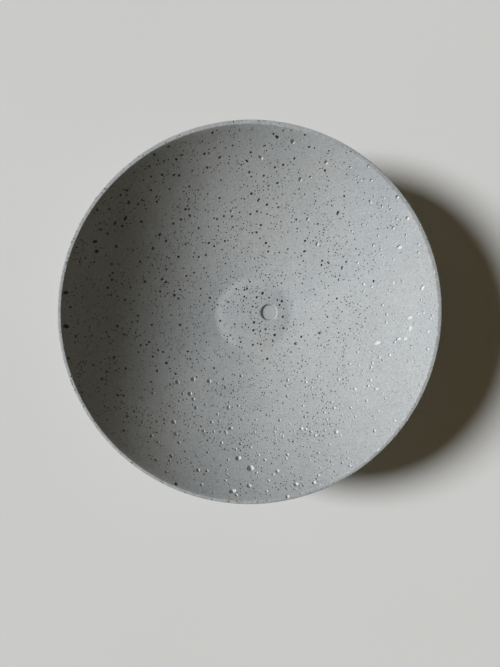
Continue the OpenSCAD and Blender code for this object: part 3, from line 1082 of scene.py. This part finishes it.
def light_world(scene, stage):
    """A dim fill on the object, and a pale backdrop where the camera or a reflection sees it."""
    scene.world = bpy.data.worlds.new("studio")
    scene.world.use_nodes = True
    tree = scene.world.node_tree
    fill = tree.nodes["Background"]
    fill.inputs["Color"].default_value = FILL_COLOUR
    fill.inputs["Strength"].default_value = stage.fill_strength
    back = tree.nodes.new("ShaderNodeBackground")
    back.inputs["Color"].default_value = BACKDROP_COLOUR
    path = tree.nodes.new("ShaderNodeLightPath")
    seen = path.outputs["Is Camera Ray"]
    for kind in ("Is Glossy Ray", "Is Transmission Ray"):
        either = tree.nodes.new("ShaderNodeMath")
        either.operation, either.use_clamp = "ADD", True
        tree.links.new(seen, either.inputs[0])
        tree.links.new(path.outputs[kind], either.inputs[1])
        seen = either.outputs[0]
    join = tree.nodes.new("ShaderNodeMixShader")
    tree.links.new(seen, join.inputs["Fac"])
    tree.links.new(fill.outputs[0], join.inputs[1])
    tree.links.new(back.outputs[0], join.inputs[2])
    tree.links.new(join.outputs[0], tree.nodes["World Output"].inputs["Surface"])


def place_camera(scene, stage):
    lens = bpy.data.cameras.new("camera")
    lens.sensor_fit, lens.sensor_width, lens.lens = "AUTO", FILM, stage.lens
    forward, right, up = view_axes(stage)
    scene.camera = add_object(scene, "camera", lens)
    scene.camera.matrix_world = (Matrix.Translation(camera_place(stage))
                                 @ Matrix((right, up, -forward)).transposed().to_4x4())


# Operators

class PLANTER_OT_bowl(bpy.types.Operator):
    """Casts the bowl: shell, drain hole, air pits and chipped lip."""
    bl_idname = "planter.bowl"
    bl_label = "Cast bowl"
    bl_options = {"REGISTER", "UNDO"}

    def execute(self, context):
        settings = context.scene.planter
        size = settings.bowl
        cast = concrete_material("cast_concrete", settings.finish.concrete, size)
        # The pale pit paste paints highlight in pits where the key light falls, and the dusty pit
        # paste paints shade in the other pits
        highlight_paste = concrete_material("pit_paste_painted_highlight", settings.finish.pit, size, in_pit=True)
        dust = concrete_material("pit_dust_painted_shade", settings.finish.dust, size, in_pit=True)

        mesh = bowl_outline(size).spun(size.steps_round)
        wander(mesh, size)
        bowl = object_from(mesh, "concrete_bowl", cast, highlight_paste, dust)
        cut_away(bowl, drain_cutter(settings.drain, size), "drain_cutter")

        smooth = bmesh.new()
        smooth.from_mesh(bowl.data)
        smooth.normal_update()
        surface = BVHTree.FromBMesh(smooth)
        # Left to itself, the noise that roughens the cutters takes its seed from the clock
        noise.seed_set(NOISE_SEED)
        field = PitField(surface)
        for sunk, highlight_from, pits in SEEN_PITS:
            for pit in pits:
                seen_pit(field, settings.stage, sunk, highlight_from, *pit)
        random_pits(field, random.Random(PIT_SEED), settings.drain)
        cut_away(bowl, field.cutters.finished(), "pit_cutter")
        cut_away(bowl, lip_chips(random.Random(CHIP_SEED), size), "chip_cutter")
        shade(bowl)
        settle_normals(bowl, surface, smooth)
        smooth.free()

        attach(bowl, "bowl")
        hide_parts("bowl")
        return {"FINISHED"}


class PLANTER_OT_bung(bpy.types.Operator):
    """Moulds the tapered rubber bung that closes the drain hole."""
    bl_idname = "planter.bung"
    bl_label = "Drain bung"
    bl_options = {"REGISTER", "UNDO"}

    def execute(self, context):
        settings = context.scene.planter
        drain = settings.drain
        low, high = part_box("drain_bung")
        low_z, top_z = low.z, high.z
        top_r = drain.diameter / 2 - drain.bung_gap
        low_r = top_r - (drain.diameter - drain.low_diameter) / 2 * BUNG_TAPER
        dish_r, dish_floor_r, dish_z = top_r - 1.2 * MM, top_r - 2.4 * MM, top_z - drain.bung_dish
        hollow_r, hollow_top_r, hollow_top_z = 2.8 * MM, 2.4 * MM, low_z + 4 * MM
        line = Outline(0.0, dish_z)
        line.to((dish_floor_r, dish_z), cuts=2, rounding=0.8 * MM)
        line.to((dish_r, top_z), rounding=0.4 * MM)
        line.to((top_r, top_z), rounding=0.1 * MM)
        line.to((low_r, low_z), cuts=3, rounding=0.25 * MM)
        line.to((hollow_r, low_z), rounding=0.2 * MM)
        line.to((hollow_top_r, hollow_top_z), cuts=2, rounding=0.4 * MM)
        line.to((0.0, hollow_top_z))
        rubber = rubber_material("bung_rubber", settings.finish.bung, BUNG_DUST)
        bung = object_from(line.spun_at(drain_place(drain)), "rubber_bung", rubber)
        shade(bung)
        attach(bung, "drain_bung")
        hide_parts("drain_bung")
        return {"FINISHED"}


class PLANTER_OT_pads(bpy.types.Operator):
    """Moulds the four rubber floor pads under the foot."""
    bl_idname = "planter.pads"
    bl_label = "Floor pads"
    bl_options = {"REGISTER", "UNDO"}

    def execute(self, context):
        rubber = rubber_material("pad_rubber", context.scene.planter.finish.pad, PAD_DUST)
        recess, recess_edge, recess_rim = 0.25 * MM, 2.6 * MM, 2.2 * MM
        top_edge_h, top_edge_w = 0.3 * MM, 0.2 * MM
        for node in PAD_NODES:
            low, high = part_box(node)
            middle, radius, top = (low + high) / 2, (high.x - low.x) / 2, high.z
            line = Outline(0.0, recess)
            line.to((radius - recess_edge, recess), cuts=1, rounding=0.2 * MM)
            line.to((radius - recess_rim, low.z), rounding=0.15 * MM)
            line.to((radius, low.z), rounding=0.8 * MM)
            line.to((radius, top - top_edge_h), rounding=0.1 * MM)
            line.to((radius - top_edge_w, top), rounding=0.1 * MM)
            line.to((0.0, top), cuts=1)
            pad = object_from(line.spun_at((middle.x, middle.y, 0.0)), "rubber_" + node, rubber)
            shade(pad)
            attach(pad, "bowl")
            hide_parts(node)
        return {"FINISHED"}


class PLANTER_OT_stage(bpy.types.Operator):
    """Sets up the floor, the soft light and the camera."""
    bl_idname = "planter.stage"
    bl_label = "Stage"
    bl_options = {"REGISTER", "UNDO"}

    def execute(self, context):
        scene, settings = context.scene, context.scene.planter
        scene.view_settings.view_transform = "Standard"
        mesh = bmesh.new()
        bmesh.ops.create_circle(mesh, cap_ends=True, radius=FLOOR_RADIUS, segments=STEPS_ROUND)
        floor = object_from(mesh, "floor", floor_material(settings.finish.floor))
        light_key(scene, settings.stage)
        light_world(scene, settings.stage)
        place_camera(scene, settings.stage)
        return {"FINISHED"}


class PLANTER_PT_panel(bpy.types.Panel):
    """Lists the planter's pieces and sizes."""
    bl_label = "Planter bowl"
    bl_idname = "PLANTER_PT_panel"
    bl_space_type = "VIEW_3D"
    bl_region_type = "UI"
    bl_category = "Planter"

    def draw(self, context):
        settings = context.scene.planter
        for kind in OPERATORS:
            self.layout.operator(kind.bl_idname)
        for group in (settings.bowl, settings.drain, settings.finish, settings.stage):
            box = self.layout.box()
            for name in group.__annotations__:
                box.prop(group, name)


OPERATORS = (PLANTER_OT_bowl, PLANTER_OT_bung, PLANTER_OT_pads, PLANTER_OT_stage)
CLASSES = (BowlSizes, DrainSizes, Finishes, StageSizes, PlanterSettings, *OPERATORS,
           PLANTER_PT_panel)


def register():
    for kind in CLASSES:
        bpy.utils.register_class(kind)
    bpy.types.Scene.planter = PointerProperty(type=PlanterSettings)


def unregister():
    del bpy.types.Scene.planter
    for kind in reversed(CLASSES):
        bpy.utils.unregister_class(kind)


def main():
    register()
    bpy.ops.planter.bowl()
    bpy.ops.planter.bung()
    bpy.ops.planter.pads()
    bpy.ops.planter.stage()


if __name__ == "__main__":
    main()
